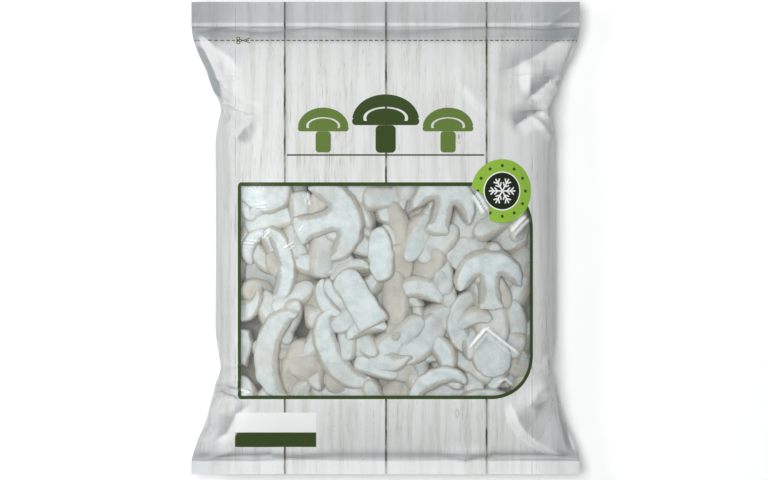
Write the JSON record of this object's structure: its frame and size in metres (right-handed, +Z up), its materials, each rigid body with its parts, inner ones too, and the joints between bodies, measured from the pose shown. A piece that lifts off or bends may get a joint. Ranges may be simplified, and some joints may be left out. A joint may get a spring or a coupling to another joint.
{
  "type": "bag of frozen sliced mushrooms",
  "caption": "Filled pillow bag of frozen sliced button mushrooms, lying on its back, with welded ends and a clear window in its printed front that shows the slices.",
  "frame": {"origin": "centre of the bag's bounding box, at its bottom, on the surface that the bag lies on", "axes": "+X across the bag's width, +Y along its height towards the top seal, +Z up, out of the front with the window"},
  "size_m": [0.25, 0.304, 0.058],
  "materials": {
    "printed_film": "thin printed plastic film, whitewashed planks with a soft gloss",
    "clear_film": "clear unprinted plastic film, glossy",
    "frozen_slice": "cut flesh of frozen mushroom, pale, with a light frost",
    "frozen_skin": "cap skin of frozen mushroom, warm off-white"
  },
  "bodies": {
    "root": {"clear_window": "clear_film", "frozen_bulk": "frozen_slice", "printed_film": "printed_film", "slice_01_whole": "frozen_slice", "slice_02_whole": "frozen_slice", "slice_03_cap": "frozen_slice", "slice_04_stem": "frozen_slice", "slice_05_cap": "frozen_slice", "slice_06_oval": "frozen_slice", "slice_07_oval": "frozen_slice", "slice_08_cap": "frozen_slice", "slice_09_whole": "frozen_slice", "slice_10_cap": "frozen_slice", "slice_11_cap": "frozen_slice", "slice_12_cap": "frozen_slice", "slice_13_oval": "frozen_slice", "slice_14_cap": "frozen_slice", "slice_15_cap": "frozen_slice", "slice_16_oval": "frozen_slice", "slice_17_cap": "frozen_slice", "slice_18_dome": "frozen_skin", "slice_19_whole": "frozen_slice", "slice_20_oval": "frozen_slice", "slice_21_oval": "frozen_slice", "slice_22_dome": "frozen_skin", "slice_23_oval": "frozen_slice", "slice_24_dome": "frozen_skin", "slice_25_oval": "frozen_slice", "slice_26_stem": "frozen_slice", "slice_27_cap": "frozen_slice", "slice_28_oval": "frozen_slice", "slice_29_stem": "frozen_slice", "slice_30_stem": "frozen_slice", "slice_31_cap": "frozen_slice", "slice_32_dome": "frozen_skin", "slice_33_dome": "frozen_skin", "slice_34_oval": "frozen_slice", "slice_35_oval": "frozen_slice", "slice_36_cap": "frozen_slice", "slice_37_cap": "frozen_slice", "slice_38_stem": "frozen_slice", "slice_39_oval": "frozen_slice", "slice_40_dome": "frozen_skin", "slice_41_oval": "frozen_slice", "slice_42_dome": "frozen_skin", "slice_43_dome": "frozen_skin", "slice_44_bit": "frozen_slice", "slice_45_oval": "frozen_slice", "slice_46_stem": "frozen_slice", "slice_47_dome": "frozen_skin", "slice_48_bit": "frozen_slice", "slice_49_bit": "frozen_slice", "slice_50_bit": "frozen_slice", "slice_51_stem": "frozen_slice", "slice_52_bit": "frozen_slice", "slice_53_bit": "frozen_slice", "slice_54_bit": "frozen_slice", "slice_55_bit": "frozen_slice"}
  },
  "joints": []
}
